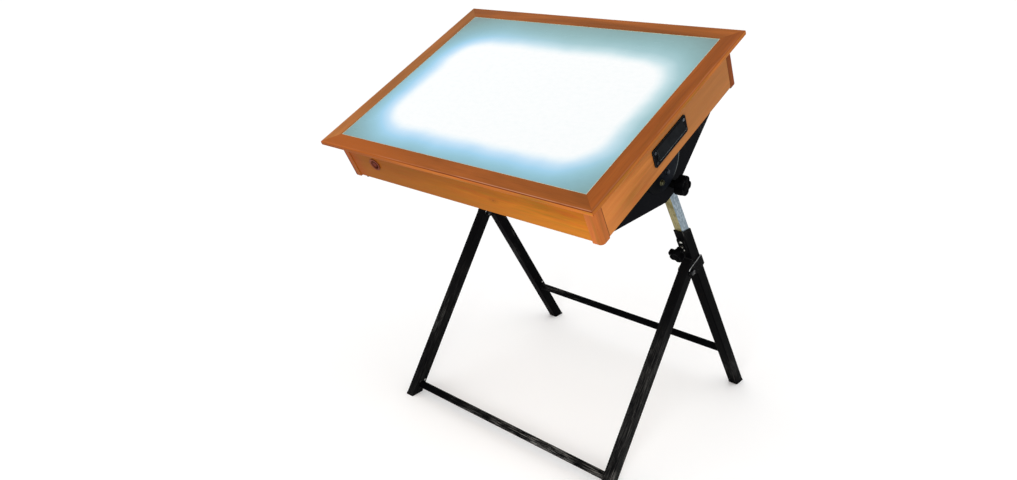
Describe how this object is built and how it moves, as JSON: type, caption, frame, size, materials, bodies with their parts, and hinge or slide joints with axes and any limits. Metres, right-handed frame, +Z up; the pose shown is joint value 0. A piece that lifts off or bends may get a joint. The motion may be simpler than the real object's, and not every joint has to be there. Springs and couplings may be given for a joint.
{
  "type": "light box drafting table",
  "caption": "Folding drafting table with a glass-topped wooden light box that tilts and slides up and down on a black tubular stand.",
  "frame": {"origin": "on the floor, under the middle of the table's outline", "axes": "+Z up, the low drawing edge of the board faces -Y, +X is the user's right"},
  "size_m": [0.8, 0.8453, 1.0166],
  "materials": {
    "rim_wood": "satin varnish, mahogany brown",
    "board_wood": "satin varnish, orange brown",
    "post_wood": "satin varnish, orange brown",
    "glass": "polished",
    "opal_acrylic": "opal, lit from below",
    "clear_silicone": "translucent",
    "plywood": "raw",
    "zinc_screw": "zinc plated",
    "white_enamel": "gloss white",
    "lamp_glass": "phosphor coated",
    "lamp_cap": "satin",
    "white_plastic": "satin",
    "ballast_steel": "satin",
    "cable_pvc": "satin",
    "switch_brown": "gloss",
    "switch_red": "gloss",
    "black_nylon": "satin",
    "handle_plastic": "fine satin",
    "black_plate": "semi-gloss black",
    "quadrant_steel": "gloss black",
    "zinc_bolt": "zinc plated",
    "zinc_tube": "yellow and clear passivated zinc",
    "knob_plastic": "satin",
    "black_tube": "black paint, lightly worn",
    "foot_rubber": "satin"
  },
  "bodies": {
    "front_frame": {"front_leg_left": "black_tube", "front_leg_right": "black_tube", "sleeve_left": "black_tube", "sleeve_right": "black_tube", "front_brace": "black_tube", "clamp_plates": "black_plate", "clamp_rivets": "zinc_bolt", "fold_bolts": "zinc_bolt", "front_feet": "foot_rubber"},
    "rear_frame": {"rear_leg_left": "black_tube", "rear_leg_right": "black_tube", "rear_brace": "black_tube", "fold_brackets": "black_plate", "rear_feet": "foot_rubber"},
    "height_posts": {"inner_tube_left": "zinc_tube", "inner_tube_right": "zinc_tube", "inner_tube_caps": "black_nylon", "pivot_bolts": "zinc_bolt", "friction_washers": "zinc_bolt"},
    "light_box": {"rim_rail_front": "rim_wood", "rim_rail_rear": "rim_wood", "rim_rail_left": "rim_wood", "rim_rail_right": "rim_wood", "glass_top": "glass", "diffuser_sheet": "opal_acrylic", "glazing_bead": "clear_silicone", "apron_front": "board_wood", "apron_rear": "board_wood", "side_board_left": "board_wood", "side_board_right": "board_wood", "corner_post_front_left": "post_wood", "corner_post_front_right": "post_wood", "corner_post_rear_left": "post_wood", "corner_post_rear_right": "post_wood", "bottom_panel": "plywood", "panel_screws": "zinc_screw", "reflector_tray": "white_enamel", "lamp_tubes": "lamp_glass", "lamp_caps": "lamp_cap", "lampholders": "white_plastic", "ballasts": "ballast_steel", "starters": "white_plastic", "wiring_loom": "cable_pvc", "switch_body": "switch_brown", "cord_gland": "black_nylon", "handle_left": "handle_plastic", "handle_right": "handle_plastic", "handle_screws": "zinc_screw", "tilt_bracket_left": "black_plate", "tilt_bracket_right": "black_plate", "quadrant_left": "quadrant_steel", "quadrant_right": "quadrant_steel", "bracket_fasteners": "zinc_bolt"},
    "switch_button": {"switch_button": "switch_red"},
    "tilt_knob_left": {"tilt_knob_left": "knob_plastic"},
    "tilt_knob_right": {"tilt_knob_right": "knob_plastic"},
    "height_knob_left": {"height_knob_left": "knob_plastic", "height_stud_left": "zinc_bolt"},
    "height_knob_right": {"height_knob_right": "knob_plastic", "height_stud_right": "zinc_bolt"}
  },
  "joints": [
    {"name": "rear_legs_fold", "type": "hinge", "parent": "front_frame", "child": "rear_frame", "pos_m": [0, 0.0658, 0.458], "axis": [-1, 0, 0], "range_deg": [0, 66]},
    {"name": "height_slide", "type": "slide", "parent": "front_frame", "child": "height_posts", "axis": [0, -0.5451, 0.8384], "range_m": [-0.03, 0.028]},
    {"name": "board_tilt", "type": "hinge", "parent": "height_posts", "child": "light_box", "pos_m": [0, -0.05573, 0.7076], "axis": [1, 0, 0], "range_deg": [-26.1, 33.9]},
    {"name": "switch_press", "type": "slide", "parent": "light_box", "child": "switch_button", "axis": [0, 0.898, 0.4399], "range_m": [0, 0.003], "stiffness_N_per_m": 400},
    {"name": "tilt_knob_left_turn", "type": "hinge", "parent": "height_posts", "child": "tilt_knob_left", "pos_m": [-0.359, -0.05573, 0.7076], "axis": [-1, 0, 0], "continuous": true},
    {"name": "tilt_knob_right_turn", "type": "hinge", "parent": "height_posts", "child": "tilt_knob_right", "pos_m": [0.359, -0.05573, 0.7076], "axis": [1, 0, 0], "continuous": true},
    {"name": "height_knob_left_turn", "type": "hinge", "parent": "front_frame", "child": "height_knob_left", "pos_m": [-0.329, 0.04096, 0.52952], "axis": [0, -0.8384, -0.5451], "continuous": true},
    {"name": "height_knob_right_turn", "type": "hinge", "parent": "front_frame", "child": "height_knob_right", "pos_m": [0.329, 0.04096, 0.52952], "axis": [0, -0.8384, -0.5451], "continuous": true}
  ]
}
